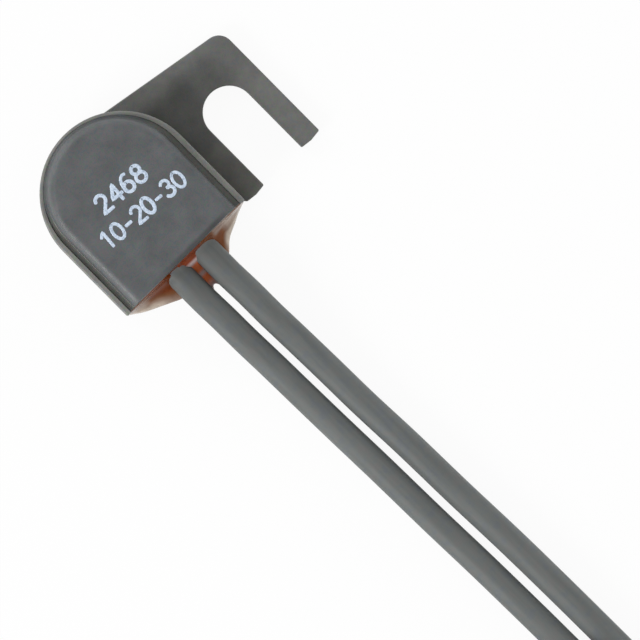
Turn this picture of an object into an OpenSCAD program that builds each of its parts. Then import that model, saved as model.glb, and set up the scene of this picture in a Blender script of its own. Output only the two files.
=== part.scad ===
// Bimetal disc thermostat: a flat D-shaped sealed case with a slotted mounting ear and two leads.
// Millimetres. The origin is on the mounting face, below the centre of the case's round end.
// +X points to the ear, -Y to the leads and +Z out of the printed face.

/* [Case] */
// Width of the case across its straight sides
case_w = 14; // [13:0.5:18]
// Length of the straight sides, from the centre of the round end to the lead end
case_side = 7.65; // [7.2:0.05:12]
// Height from the mounting face to the printed face
case_h = 6; // [5.8:0.1:9]
// Thickness of the rim that stands round the cover
rim_t = 0.5; // [0.4:0.05:0.8]
// How far the inside of the rim's round end is set out, which thins the rim there
seat_shift = 0.25; // [0:0.05:0.3]
// How far the top of the rim lies below the printed face
rim_drop = 0.9; // [0.6:0.05:1.2]
// Width of the ledge that carries the cover
ledge_w = 0.5; // [0.35:0.05:0.7]
// Thickness of the floor under the disc
floor_t = 0.8; // [0.5:0.05:1.2]

/* [Ear] */
// Thickness of the ear
ear_t = 1.2; // [0.8:0.1:2]
// Width of the screw slot
slot_w = 4.5; // [3.2:0.1:5.5]
// Length of the slot, from the ends of the legs to its round end
slot_len = 8.7; // [6:0.05:9]
// Width of the leg between the case and the slot
inner_leg_w = 2.05; // [1.5:0.05:3]
// Width of the free leg outside the slot
outer_leg_w = 2.1; // [1.5:0.05:3]
// How far the legs reach past the lead end of the case
leg_over = 0.2; // [0:0.05:1]
// How far the end of each leg is crowned
leg_crown = 0.12; // [0.05:0.01:0.4]
// Place on the round end, in degrees above +X, where the sloping edge of the ear starts
ear_meet = 60; // [45:1:65]
// Slope of that edge, in degrees
ear_slope = 9.5; // [4:0.5:14]
// Radius of the ear's free corner
ear_corner_r = 1.35; // [0.6:0.05:2]

/* [Cover] */
// Width of the groove between the rim and the raised face
groove_w = 0.5; // [0.3:0.05:0.8]
// Depth of that groove below the top of the rim
groove_h = 0.4; // [0.3:0.05:0.8]
// Thickness of the flange that lies on the ledge
flange_t = 0.6; // [0.4:0.05:0.8]
// Thickness of the raised face
cover_t = 1; // [0.8:0.05:1.1]
// Thickness of the wall round the hollow under the raised face
cover_wall = 0.7; // [0.5:0.05:0.9]
// How far the raised face's round end is set out, which narrows the groove there
face_shift = 0.55; // [0.3:0.05:0.6]
// Radius of the raised face's shoulder
shoulder_r = 0.9; // [0.3:0.05:1]
// How far the cover ends short of the lead end
cover_short = 0.1; // [0:0.05:0.4]

/* [Disc] */
// Diameter of the bimetal disc
disc_d = 9.2; // [8:0.1:9.6]
// Thickness of the disc
disc_t = 0.2; // [0.12:0.02:0.24]
// Depth of the disc's dish
disc_dish = 0.28; // [0.2:0.02:0.38]
// Clearance round the disc in its pocket
disc_gap = 0.2; // [0.1:0.05:0.3]
// Depth of the disc's pocket
pocket_h = 0.65; // [0.64:0.01:0.9]
// Distance from the centre of the round end to the disc's centre, towards the crown
disc_y = 1; // [0.6:0.05:1.1]

/* [Guide plate and pin] */
// Thickness of the plate over the disc
plate_t = 0.8; // [0.6:0.05:0.9]
// Diameter of the pin that the disc pushes
pin_d = 1.2; // [0.8:0.05:1.3]
// Clearance round the pin
pin_gap = 0.05; // [0.03:0.01:0.1]
// Wall of the boss that guides the pin
boss_wall = 0.5; // [0.3:0.05:0.6]
// Height of the boss over the plate
boss_h = 0.65; // [0.3:0.05:0.7]
// Free play between the pin and the blade
pin_play = 0.05; // [0.03:0.01:0.1]

/* [Terminals] */
// Thickness of the terminal strips
strip_t = 0.4; // [0.3:0.05:0.5]
// Width of the strip that runs beside the blade
strip_w = 1.6; // [1.2:0.05:1.7]
// Distance from the centre line to the middle of that strip
strip_x = 2.8; // [2.6:0.05:3]
// Wall of the crimped barrels
barrel_wall = 0.42; // [0.3:0.02:0.5]
// Length of the crimped barrels
barrel_len = 1.4; // [1:0.05:1.5]
// Diameter of the rivets' shanks
rivet_d = 1.2; // [0.8:0.05:1.3]
// Diameter of the rivets' heads
rivet_head_d = 2; // [1.7:0.05:2.1]
// Thickness of the rivets' heads
rivet_head_t = 0.35; // [0.2:0.05:0.4]

/* [Contacts and blade] */
// Thickness of the spring blade
blade_t = 0.15; // [0.1:0.01:0.2]
// Width of the spring blade
blade_w = 2.2; // [1.9:0.05:2.3]
// Distance from the pin to the blade's rivet
blade_arm = 3.2; // [3:0.05:3.3]
// Distance from the pin to the contacts
contact_arm_y = 2.9; // [2.7:0.05:3]
// Diameter of the contact buttons
contact_d = 1.8; // [1.4:0.05:1.9]
// Thickness of the contact buttons
contact_t = 0.35; // [0.25:0.05:0.4]
// Diameter of the contacts' shanks
shank_d = 0.8; // [0.6:0.05:0.9]

/* [Seal] */
// Thickness of the dam that keeps the resin out of the switch
dam_t = 0.6; // [0.4:0.05:0.7]
// How far the resin reaches out along the sides of the leads
fillet_reach = 2.2; // [1.5:0.1:3]
// How far the resin reaches out between the leads
web_reach = 3.2; // [2.4:0.1:3.5]

/* [Leads] */
// Diameter of the leads over their insulation
lead_d = 2.45; // [2:0.05:2.5]
// Diameter of the bare strands
strand_d = 1.16; // [0.8:0.02:1.2]
// Distance between the two leads where they leave the case
lead_pitch = 3.05; // [2.8:0.05:3.3]
// How far the pair of leads sits towards the ear
lead_shift = 0.125; // [-0.3:0.025:0.3]
// Height of the leads where they leave the case
lead_z = 2.5; // [2.3:0.05:2.6]
// How far the insulation reaches into the case
lead_in = 0.65; // [0.3:0.05:0.8]

/* [Hidden] */
$fn = 64;

// Clearance round the plate, the dam and the cover in the case
fit_gap = 0.05;
// Overlap that joins solids and lets cuts run clear of a face
eps = 0.05;

// Half widths of the case, its cavity and the cover, from outside to inside
case_r = case_w / 2;
seat_r = case_r - rim_t;
cavity_r = seat_r - ledge_w;
flange_r = seat_r - fit_gap;
face_r = seat_r - groove_w;
hollow_r = face_r - cover_wall;

// Heights of the case, from the mounting face up
plate_z = floor_t + pocket_h;
strip_z = plate_z + plate_t;
rim_z = case_h - rim_drop;
flange_top = rim_z - groove_h;
flange_z = flange_top - flange_t;
hollow_z = case_h - cover_t;

// Heights of the switch, from the strips up
strip_top = strip_z + strip_t;
touch_z = strip_top + contact_t;
blade_z = touch_z + contact_t;

// Places along the case
cover_end = case_side - cover_short;
pin_y = disc_y;
contact_y = pin_y + contact_arm_y;
rivet_y = pin_y - blade_arm;
plate_end = 4.4;
chamber_y = plate_end + dam_t;
chamber_inset = 0.4;
chamber_r = cavity_r - chamber_inset;

// Disc and its pocket
disc_r = disc_d / 2;
pocket_r = disc_r + disc_gap;
dish_r = (disc_r * disc_r + disc_dish * disc_dish) / (2 * disc_dish);
dish_fn = 180;

// Pin, its bore and its pointed ends
pin_r = pin_d / 2;
pin_tip_r = pin_r / 2;
pin_tip_h = 0.3;
pin_low = floor_t + disc_t;
pin_high = blade_z - pin_play;
bore_r = pin_r + pin_gap;
boss_r = bore_r + boss_wall;

// Terminals
left_x = lead_shift - lead_pitch / 2;
right_x = lead_shift + lead_pitch / 2;
neck_w = 1.8;
pad_w = 2.5;
pad_back = 1.1;
pad_front = 1.1;
barrel_set = 0.3;
barrel_y = chamber_y + barrel_set;
barrel_end = barrel_y + barrel_len;
barrel_plug = 0.3;
neck_start = -barrel_y - barrel_plug;
neck_lap = 0.4;
terminal_gap = 0.5;
arm_corner = 1;
strand_r = strand_d / 2;
barrel_r = strand_r + barrel_wall;
insulation_y = case_side - lead_in;

// Places of the rivets in the strip beside the blade, before and behind the pin
front_rivet_set = 2.4;
rear_rivet_set = 1.2;
front_rivet_y = pin_y - front_rivet_set;
rear_rivet_y = pin_y + rear_rivet_set;
rivet_r = rivet_d / 2;
rivet_head_r = rivet_head_d / 2;
contact_r = contact_d / 2;
shank_r = shank_d / 2;
burr_over = 0.2;
burr_r = shank_r + burr_over;
burr_t = 0.15;

// Side view of the blade: where its step starts and how long it is
step_set = 1.2;
step_len = 0.55;
step_start = rivet_y + step_set;
step_end = step_start + step_len;
blade_r = blade_w / 2;

// Resin outside the case: its skin on the lead end, and what that leaves bare at its edges
mound_inset = 0.25;
mound_low = floor_t / 2;
mound_high = flange_top - 0.1;
mound_t = 0.1;

// Slopes of the resin: steep down to a shelf, then gentle to a toe. A web fills the gap between the leads
crest_z = lead_z + lead_d / 2;
shelf_z = lead_z;
shelf_reach = 0.75;
shelf_inset = 2.6;
toe_low = 0.9;
toe_high = 1.9;
web_low = 0.9;
web_high = 2;

// Ear and slot
leg_end = case_side + leg_over;
slot_r = slot_w / 2;
slot_left = case_r + inner_leg_w;
slot_right = slot_left + slot_w;
slot_x = slot_left + slot_r;
slot_y = slot_len - slot_r - leg_end;
ear_x = slot_right + outer_leg_w;
ear_root_x = case_r * cos(ear_meet);
ear_root_y = case_r * sin(ear_meet);
corner_x = ear_x - ear_corner_r;
corner_y = ear_edge(corner_x) - ear_corner_r / cos(ear_slope);
function ear_edge(x) = ear_root_y - tan(ear_slope) * (x - ear_root_x);

// Leads: route points of the stretches that are not coiled, as x, y and z
lead_r = lead_d / 2;
left_route = [
    [-1.4, -7, lead_z], [-1.4, -9, lead_z], [-1.4, -11.2, lead_z], [-1.33, -13.5, 2.35],
    [-1.3, -16, 2.05], [-1.2, -19, 1.65], [-1.12, -22.5, 1.35], [-1.0, -27, lead_r],
    [-0.84, -32, lead_r], [-0.7, -38, lead_r], [-0.5, -44, lead_r], [-0.37, -50, lead_r],
    [-0.25, -56.5, lead_r]
];
right_route = [
    [1.65, -7, lead_z], [1.65, -9, lead_z], [1.65, -11.2, lead_z], [1.73, -13.5, 2.35],
    [1.75, -16, 2.05], [1.85, -19, 1.65], [1.95, -22.5, 1.35], [2.05, -27, lead_r],
    [2.27, -32, lead_r], [2.43, -38, lead_r], [2.66, -44, lead_r], [2.79, -50, lead_r],
    [2.85, -55, lead_r], [2.9, -61, lead_r]
];
tube_sides = 8;

// Coil of the put-away length: its middle, its outer and inner turns and the rise to its upper layer
coil_x = -10.5;
coil_y = -66;
coil_out = 13.5;
coil_in = 10.9;
coil_rise = 2.48;

// D-shaped outline: a half circle, set out by shift, with straight sides to the lead end
module d_outline(half, back, shift = 0) {
    intersection() {
        union() {
            translate([0, shift])
                circle(r = half, $fn = 96);
            translate([-half, -back])
                square([2 * half, back + shift]);
        }
        translate([-half, -back])
            square([2 * half, back + shift + half]);
    }
}

module d_block(half, back, low, high, shift = 0) {
    translate([0, 0, low])
        linear_extrude(height = high - low)
            d_outline(half, back, shift);
}

// Cylinder that runs towards the leads from one place along the case to another
module along_case(r, x, z, from, to) {
    translate([x, -from, z])
        rotate([90, 0, 0])
            cylinder(r = r, h = to - from);
}

module flat_bar(x1, x2, y1, y2, low, high) {
    translate([x1, y1, low])
        cube([x2 - x1, y2 - y1, high - low]);
}

module ear_outline() {
    difference() {
        union() {
            polygon([
                [0, -case_side], [case_r, -case_side], [case_r, -leg_end],
                [(case_r + slot_left) / 2, -leg_end - leg_crown], [slot_left, -leg_end],
                [slot_right, -leg_end], [slot_right + outer_leg_w / 2, -leg_end - leg_crown],
                [ear_x, -leg_end], [ear_x, corner_y], [corner_x, corner_y],
                [corner_x + ear_corner_r * sin(ear_slope), corner_y + ear_corner_r * cos(ear_slope)],
                [ear_root_x - 1, ear_edge(ear_root_x - 1)], [0, 0]
            ]);
            translate([corner_x, corner_y])
                circle(r = ear_corner_r);
        }
        translate([slot_x, slot_y])
            circle(r = slot_r);
        translate([slot_left, -leg_end - 1])
            square([slot_w, leg_end + 1 + slot_y]);
    }
}

// Moulded case with its rim, ledge, disc pocket, lead chamber and ear
module case_base() {
    color([0.36, 0.37, 0.36])
        difference() {
            union() {
                d_block(case_r, case_side, 0, rim_z);
                linear_extrude(height = ear_t)
                    ear_outline();
            }
            d_block(cavity_r, case_side + 1, plate_z, rim_z + 1);
            d_block(seat_r, case_side + 1, flange_z, rim_z + 1, seat_shift);
            translate([0, disc_y, floor_t])
                cylinder(r = pocket_r, h = pocket_h + eps, $fn = 96);
            flat_bar(-chamber_r, chamber_r, -case_side - 1, -chamber_y, floor_t, plate_z + eps);
        }
}

// Raised cover: a flange in the case's seat and a face with a rounded shoulder, kept clear of the barrels
module case_cover() {
    inner = face_r - shoulder_r;
    bend_z = case_h - shoulder_r;
    color([0.39, 0.40, 0.42])
        difference() {
            union() {
                d_block(flange_r, cover_end, flange_z, flange_top, seat_shift);
                d_block(face_r, cover_end, flange_z, bend_z, face_shift);
                d_block(inner, cover_end, flange_z, case_h, face_shift);
                translate([0, face_shift, bend_z])
                    rotate_extrude($fn = 96)
                        translate([inner, 0])
                            circle(r = shoulder_r);
                for (side = [-1, 1])
                    along_case(shoulder_r, side * inner, bend_z, -face_shift, cover_end);
            }
            d_block(hollow_r, plate_end, flange_z - 1, hollow_z, face_shift);
            for (x = [left_x, right_x])
                along_case(barrel_r + fit_gap, x, lead_z, barrel_y - fit_gap, barrel_end + fit_gap);
        }
}

// Snap disc, dished away from the pin
module bimetal_disc() {
    color([0.72, 0.66, 0.52])
        translate([0, disc_y, floor_t])
            rotate_extrude($fn = 96)
                intersection() {
                    translate([0, dish_r])
                        difference() {
                            circle(r = dish_r, $fn = dish_fn);
                            circle(r = dish_r - disc_t, $fn = dish_fn);
                        }
                    square([disc_r, disc_dish + 2 * disc_t]);
                }
}

// Insulating plate over the disc, with the boss that guides the pin
module pin_guide() {
    color([0.42, 0.26, 0.16])
        difference() {
            union() {
                d_block(cavity_r - fit_gap, plate_end, plate_z, strip_z);
                translate([0, pin_y, plate_z])
                    cylinder(r = boss_r, h = plate_t + boss_h);
            }
            translate([0, pin_y, plate_z - 1])
                cylinder(r = bore_r, h = plate_t + boss_h + 2);
            rivet_hole(0, rivet_y);
            rivet_hole(strip_x, front_rivet_y);
            rivet_hole(strip_x, rear_rivet_y);
        }
}

module rivet_hole(x, y) {
    translate([x, y, plate_z - 1])
        cylinder(r = rivet_r, h = plate_t + 2);
    translate([x, y, plate_z - 1])
        cylinder(r = rivet_head_r, h = 1 + rivet_head_t);
}

// Ceramic pin between the disc and the blade
module transfer_pin() {
    color([0.92, 0.90, 0.84])
        translate([0, pin_y, pin_low]) {
            cylinder(r1 = pin_tip_r, r2 = pin_r, h = pin_tip_h);
            translate([0, 0, pin_tip_h])
                cylinder(r = pin_r, h = pin_high - pin_low - 2 * pin_tip_h);
            translate([0, 0, pin_high - pin_low - pin_tip_h])
                cylinder(r1 = pin_r, r2 = pin_tip_r, h = pin_tip_h);
        }
}

// Barrel crimped on a lead's bare strands, closed at its inner end
module barrel(x) {
    difference() {
        along_case(barrel_r, x, lead_z, barrel_y, barrel_end);
        along_case(strand_r, x, lead_z, barrel_y + barrel_plug, barrel_end + 1);
    }
}

module strip_hole(x, y, r) {
    translate([x, y, strip_z - 1])
        cylinder(r = r, h = strip_t + 2);
}

// Terminal of the left lead, which carries the blade
module arm_terminal() {
    color([0.80, 0.66, 0.36])
        difference() {
            union() {
                flat_bar(
                    -pad_w / 2, pad_w / 2, rivet_y - pad_back, rivet_y + pad_front, strip_z, strip_top
                );
                flat_bar(
                    left_x - neck_w / 2, left_x + neck_w / 2,
                    neck_start, rivet_y - pad_back + neck_lap, strip_z, strip_top
                );
                barrel(left_x);
            }
            strip_hole(0, rivet_y, rivet_r);
        }
}

// Terminal of the right lead: a strip beside the blade with an arm under its contact
module fixed_terminal() {
    strip_left = strip_x - strip_w / 2;
    strip_right = strip_x + strip_w / 2;
    arm_low = contact_y - contact_r;
    arm_high = contact_y + contact_r;
    color([0.80, 0.66, 0.36])
        difference() {
            union() {
                flat_bar(
                    right_x - neck_w / 2, right_x + neck_w / 2,
                    neck_start, rivet_y - pad_back - terminal_gap, strip_z, strip_top
                );
                translate([0, 0, strip_z])
                    linear_extrude(height = strip_t)
                        polygon([
                            [strip_left, -plate_end], [strip_right, -plate_end],
                            [strip_right, arm_high - arm_corner], [strip_right - arm_corner, arm_high],
                            [-contact_r, arm_high], [-contact_r, arm_low], [strip_left, arm_low]
                        ]);
                barrel(right_x);
            }
            strip_hole(strip_x, front_rivet_y, rivet_r);
            strip_hole(strip_x, rear_rivet_y, rivet_r);
            strip_hole(0, contact_y, shank_r);
        }
}

// Spring blade: a foot on its terminal, a step up and a flat arm over the pin to the contacts
module contact_blade() {
    foot_y = rivet_y - pad_back;
    color([0.78, 0.60, 0.38])
        difference() {
            union() {
                translate([-blade_r, 0, 0])
                    rotate([90, 0, 90])
                        linear_extrude(height = blade_w)
                            polygon([
                                [foot_y, strip_top], [step_start, strip_top],
                                [step_end, blade_z], [pin_y, blade_z],
                                [pin_y, blade_z + blade_t], [step_end, blade_z + blade_t],
                                [step_start, strip_top + blade_t], [foot_y, strip_top + blade_t]
                            ]);
                translate([0, 0, blade_z])
                    linear_extrude(height = blade_t) {
                        translate([-blade_r, pin_y])
                            square([blade_w, contact_arm_y]);
                        translate([0, contact_y])
                            circle(r = blade_r);
                    }
            }
            translate([0, rivet_y, strip_top - 1])
                cylinder(r = rivet_r, h = blade_t + 2);
            translate([0, contact_y, blade_z - 1])
                cylinder(r = shank_r, h = blade_t + 2);
        }
}

// Contact riveted in the blade, button down
module moving_contact() {
    color([0.82, 0.82, 0.80])
        translate([0, contact_y, touch_z]) {
            cylinder(r = contact_r, h = contact_t);
            cylinder(r = shank_r, h = contact_t + blade_t + burr_t);
            translate([0, 0, contact_t + blade_t])
                cylinder(r = burr_r, h = burr_t);
        }
}

// Contact riveted in the fixed terminal, button up
module fixed_contact() {
    color([0.82, 0.82, 0.80])
        translate([0, contact_y, strip_z]) {
            cylinder(r = shank_r, h = strip_t + contact_t);
            translate([0, 0, strip_t])
                cylinder(r = contact_r, h = contact_t);
        }
}

// Rivet with its lower head sunk in the guide plate and its upper head on the given height
module rivet(x, y, seat) {
    color([0.74, 0.70, 0.60])
        translate([x, y, plate_z]) {
            cylinder(r = rivet_head_r, h = rivet_head_t);
            cylinder(r = rivet_r, h = seat - plate_z + rivet_head_t);
            translate([0, 0, seat - plate_z])
                cylinder(r = rivet_head_r, h = rivet_head_t);
        }
}

module blade_rivet() {
    rivet(0, rivet_y, strip_top + blade_t);
}

module front_rivet() {
    rivet(strip_x, front_rivet_y, strip_top);
}

module rear_rivet() {
    rivet(strip_x, rear_rivet_y, strip_top);
}

// Dam across the case behind the guide plate, slotted for the two terminals
module seal_dam() {
    color([0.62, 0.30, 0.22])
        difference() {
            flat_bar(fit_gap - cavity_r, cavity_r - fit_gap, -chamber_y, -plate_end, plate_z, flange_z);
            for (x = [left_x, right_x])
                flat_bar(
                    x - neck_w / 2, x + neck_w / 2, -chamber_y - 1, 1 - plate_end, strip_z, strip_top
                );
        }
}

// Skin of resin on the case's lead end
module resin_skin(low, high) {
    flat_bar(mound_inset - case_r, seat_r, -case_side - mound_t, -case_side, low, high);
}

// Resin that fills the lead chamber and rises round the leads outside it
module resin_seal() {
    color([0.55, 0.19, 0.05])
        difference() {
            union() {
                flat_bar(-cavity_r, cavity_r, -case_side, -chamber_y, plate_z, flange_z);
                flat_bar(-chamber_r, chamber_r, -case_side, -chamber_y, floor_t, plate_z + eps);
                flat_bar(-seat_r, seat_r, -case_side - mound_t, -cover_end, flange_z, mound_high);
                resin_skin(mound_low, mound_high);
                hull() {
                    resin_skin(toe_high, crest_z);
                    flat_bar(
                        shelf_inset - case_r, case_r - shelf_inset, -case_side - shelf_reach, -case_side,
                        toe_high, shelf_z
                    );
                }
                hull() {
                    resin_skin(mound_low, shelf_z);
                    flat_bar(
                        left_x - lead_r, right_x + lead_r, -case_side - fillet_reach, -case_side,
                        toe_low, toe_high
                    );
                }
                flat_bar(left_x, right_x, -case_side - web_reach, -case_side, web_low, web_high);
            }
            for (x = [left_x, right_x]) {
                along_case(lead_r, x, lead_z, insulation_y, case_side + web_reach + 1);
                along_case(strand_r, x, lead_z, barrel_end - eps, insulation_y + eps);
                along_case(barrel_r, x, lead_z, barrel_y, barrel_end);
                flat_bar(x - neck_w / 2, x + neck_w / 2, neck_start, 1 - chamber_y, strip_z, strip_top);
            }
        }
}

// Bare strands of a lead between its barrel and its insulation
module strands(x) {
    color([0.80, 0.50, 0.32])
        along_case(strand_r, x, lead_z, barrel_y + barrel_plug, insulation_y);
}

module left_strands() {
    strands(left_x);
}

module right_strands() {
    strands(right_x);
}

// Tube swept along a route, with one ring of points at each route point
function unit(v) = v / norm(v);
function heading(route, i) = unit(route[min(i + 1, len(route) - 1)] - route[max(i - 1, 0)]);
function tube_ring(point, ahead) =
    let (side = unit(cross(ahead, [0, 0, 1])), up = cross(side, ahead))
    [for (k = [0 : tube_sides - 1])
        point + lead_r * (cos(360 * k / tube_sides) * side + sin(360 * k / tube_sides) * up)];

module tube(route) {
    last = len(route) - 1;
    rings = [for (i = [0 : last]) each tube_ring(route[i], heading(route, i))];
    walls = [for (i = [0 : last - 1]) for (k = [0 : tube_sides - 1])
        let (a = i * tube_sides + k, b = i * tube_sides + (k + 1) % tube_sides)
        each [[a, b, b + tube_sides], [a, b + tube_sides, a + tube_sides]]];
    near_cap = [for (k = [0 : tube_sides - 1]) tube_sides - 1 - k];
    far_cap = [for (k = [0 : tube_sides - 1]) last * tube_sides + k];
    polyhedron(points = rings, faces = concat([near_cap], walls, [far_cap]));
}

module left_lead() {
    color([0.42, 0.43, 0.43])
        tube(left_route);
}

module right_lead() {
    color([0.42, 0.43, 0.43])
        tube(right_route);
}

// Outer shape of the coil in which both leads end: two turns side by side, in two layers
module lead_coil() {
    color([0.42, 0.43, 0.43])
        translate([coil_x, coil_y, lead_r])
            rotate_extrude($fn = 96) {
                translate([coil_in, -lead_r])
                    square([coil_out - coil_in, lead_d + coil_rise]);
                translate([coil_in - lead_r, 0])
                    square([coil_out - coil_in + lead_d, coil_rise]);
                for (r = [coil_in, coil_out], rise = [0, coil_rise])
                    translate([r, rise])
                        circle(r = lead_r, $fn = 24);
            }
}

case_base();
case_cover();
bimetal_disc();
pin_guide();
transfer_pin();
arm_terminal();
fixed_terminal();
contact_blade();
moving_contact();
fixed_contact();
blade_rivet();
front_rivet();
rear_rivet();
seal_dam();
resin_seal();
left_strands();
right_strands();
left_lead();
right_lead();
lead_coil();
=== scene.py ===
# Looks of the bimetal disc thermostat: its finishes, the resin, the printed numbers and the two leads
import math
import random

import bmesh
import bpy
from mathutils import Matrix, Vector


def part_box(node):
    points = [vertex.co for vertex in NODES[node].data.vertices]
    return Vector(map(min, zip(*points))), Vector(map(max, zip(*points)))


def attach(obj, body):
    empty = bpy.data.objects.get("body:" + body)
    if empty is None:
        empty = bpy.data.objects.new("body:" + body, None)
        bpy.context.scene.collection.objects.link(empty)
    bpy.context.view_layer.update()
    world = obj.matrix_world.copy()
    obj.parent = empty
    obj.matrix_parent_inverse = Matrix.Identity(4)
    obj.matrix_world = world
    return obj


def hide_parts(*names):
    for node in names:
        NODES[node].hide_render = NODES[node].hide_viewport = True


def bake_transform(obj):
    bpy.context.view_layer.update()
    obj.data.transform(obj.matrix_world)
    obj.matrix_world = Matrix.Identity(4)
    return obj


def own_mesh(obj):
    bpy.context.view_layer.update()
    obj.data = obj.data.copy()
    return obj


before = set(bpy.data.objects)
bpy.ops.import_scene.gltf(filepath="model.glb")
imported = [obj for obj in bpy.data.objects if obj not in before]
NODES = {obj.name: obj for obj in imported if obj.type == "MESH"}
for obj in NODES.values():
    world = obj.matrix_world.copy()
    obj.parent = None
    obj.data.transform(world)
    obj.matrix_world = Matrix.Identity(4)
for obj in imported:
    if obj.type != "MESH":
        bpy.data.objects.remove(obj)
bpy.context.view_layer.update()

MM = 0.001
WHITE = (1, 1, 1, 1)


def at(x, y, z):
    """A point given in millimetres, in metres."""
    return Vector((x, y, z)) * MM


def grey(value):
    """Linear colour with the same value in its three channels."""
    return (value, value, value, 1)


def srgb(red, green, blue):
    """Linear colour of an 8-bit sRGB one."""
    def linear(value):
        share = value / 255
        return share / 12.92 if share <= 0.04045 else ((share + 0.055) / 1.055) ** 2.4
    return (linear(red), linear(green), linear(blue), 1)


def smoothstep(low, high, value):
    """0 at low, 1 at high and smooth between them; low may be the larger."""
    share = min(max((value - low) / (high - low), 0), 1)
    return share * share * (3 - 2 * share)


def cubic(t, start, start_slope, end, end_slope):
    """Smooth curve between two values or points, at the share t of its way; slopes are for the whole way."""
    return (
        (2 * t ** 3 - 3 * t ** 2 + 1) * start + (t ** 3 - 2 * t ** 2 + t) * start_slope
        + (3 * t ** 2 - 2 * t ** 3) * end + (t ** 3 - t ** 2) * end_slope
    )


def through(points, value):
    """Smooth curve through points (place, height), read at value; flat outside them."""
    if value <= points[0][0]:
        return points[0][1]
    if value >= points[-1][0]:
        return points[-1][1]
    i = max(k for k in range(len(points) - 1) if points[k][0] <= value)
    (x0, y0), (x1, y1) = points[i], points[i + 1]
    before, after = points[max(i - 1, 0)], points[min(i + 2, len(points) - 1)]
    width = x1 - x0
    slope0 = (y1 - before[1]) / (x1 - before[0])
    slope1 = (after[1] - y0) / (after[0] - x0)
    return cubic((value - x0) / width, y0, width * slope0, y1, width * slope1)


# Sizes in millimetres that several pieces share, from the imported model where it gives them
cover_low, cover_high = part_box("case_cover")
face_z = cover_high.z / MM
cover_end = cover_low.y / MM
face_half, face_shift = 6, 0.55
case_half, case_end = 7, -7.65
rim_z, ear_t = 5.1, 1.2
strands_low, strands_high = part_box("left_strands")
strand_d = (strands_high.x - strands_low.x) / MM
lead_z = (strands_low.z + strands_high.z) / 2 / MM
lead_d = 2.45
lead_r = lead_d / 2


# Meshes
def mesh_object(name, bm, material, smooth=True):
    """Object made of a bmesh, with its normals outwards."""
    bmesh.ops.recalc_face_normals(bm, faces=bm.faces)
    mesh = bpy.data.meshes.new(name)
    bm.to_mesh(mesh)
    bm.free()
    for face in mesh.polygons:
        face.use_smooth = smooth
    mesh.materials.append(material)
    obj = bpy.data.objects.new(name, mesh)
    bpy.context.scene.collection.objects.link(obj)
    return obj


def node_copy(node):
    """Bmesh with a CAD node's mesh, whose faces share their corners."""
    bm = bmesh.new()
    bm.from_mesh(NODES[node].data)
    weld = 0.0001
    bmesh.ops.remove_doubles(bm, verts=bm.verts, dist=weld * MM)
    return bm


def circle(bm, centre, side, up, radius, sides):
    """Vertices round a circle, from the direction side towards the direction up."""
    turns = [2 * math.pi * k / sides for k in range(sides)]
    return [bm.verts.new(centre + radius * (math.cos(a) * side + math.sin(a) * up)) for a in turns]


def bridge(bm, loops):
    """Bands of faces from each closed loop of vertices to the next."""
    for a, b in zip(loops, loops[1:]):
        for k in range(len(a)):
            n = (k + 1) % len(a)
            bm.faces.new((a[k], a[n], b[n], b[k]))


def directions(path):
    """Each point of a path with its sideways, upward and forward directions."""
    last = len(path) - 1
    places = []
    for i, point in enumerate(path):
        ahead = (path[min(i + 1, last)] - path[max(i - 1, 0)]).normalized()
        side = ahead.cross(Vector((0, 0, 1))).normalized()
        places.append((point, side, side.cross(ahead), ahead))
    return places


def sweep(bm, path, radius, sides, bulge):
    """Closed tube along a path, with round caps that bulge by the given length, all in metres."""
    places = directions(path)
    rings = [(point, side, up, radius) for point, side, up, ahead in places]
    first, last = places[0], places[-1]
    cap_shares = (0.45, 0.8)
    for share in cap_shares:
        shrunk = radius * math.sqrt(1 - share * share)
        rings.insert(0, (first[0] - first[3] * bulge * share, first[1], first[2], shrunk))
        rings.append((last[0] + last[3] * bulge * share, last[1], last[2], shrunk))
    loops = [circle(bm, point, side, up, width, sides) for point, side, up, width in rings]
    bridge(bm, loops)
    bm.faces.new(list(reversed(loops[0])))
    bm.faces.new(loops[-1])


# Shader nodes
def new_material(name):
    """Empty material with its node tree and its main shader."""
    material = bpy.data.materials.new(name)
    material.use_nodes = True
    tree = material.node_tree
    return material, tree, tree.nodes["Principled BSDF"]


def coordinates(tree, stretch=(1, 1, 1)):
    """Object coordinates in millimetres, stretched by axis."""
    source = tree.nodes.new("ShaderNodeTexCoord")
    mapping = tree.nodes.new("ShaderNodeMapping")
    mapping.inputs["Scale"].default_value = [s / MM for s in stretch]
    tree.links.new(source.outputs["Object"], mapping.inputs["Vector"])
    return mapping.outputs["Vector"]


def noise(tree, place, size, detail=2.0, roughness=0.5):
    """Noise from 0 to 1 whose features are about size millimetres across."""
    node = tree.nodes.new("ShaderNodeTexNoise")
    node.inputs["Scale"].default_value = 1 / size
    node.inputs["Detail"].default_value = detail
    node.inputs["Roughness"].default_value = roughness
    tree.links.new(place, node.inputs["Vector"])
    return node.outputs["Fac"]


def ramp(tree, value, stops):
    """Colour along stops (place, colour)."""
    node = tree.nodes.new("ShaderNodeValToRGB")
    elements = node.color_ramp.elements
    for i, (place, colour) in enumerate(stops):
        element = elements[i] if i < 2 else elements.new(place)
        element.position = place
        element.color = colour
    tree.links.new(value, node.inputs["Fac"])
    return node.outputs["Color"]


def mix_colour(tree, share, a, b, mode="MIX"):
    """Colour a where share is 0, and b, or b laid over a in another mode, where it is 1."""
    node = tree.nodes.new("ShaderNodeMix")
    node.data_type = "RGBA"
    node.blend_type = mode
    colour_a, colour_b, colour_out = node.inputs[6], node.inputs[7], node.outputs[2]
    for socket, value in ((node.inputs["Factor"], share), (colour_a, a), (colour_b, b)):
        if isinstance(value, bpy.types.NodeSocket):
            tree.links.new(value, socket)
        else:
            socket.default_value = value
    return colour_out


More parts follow.
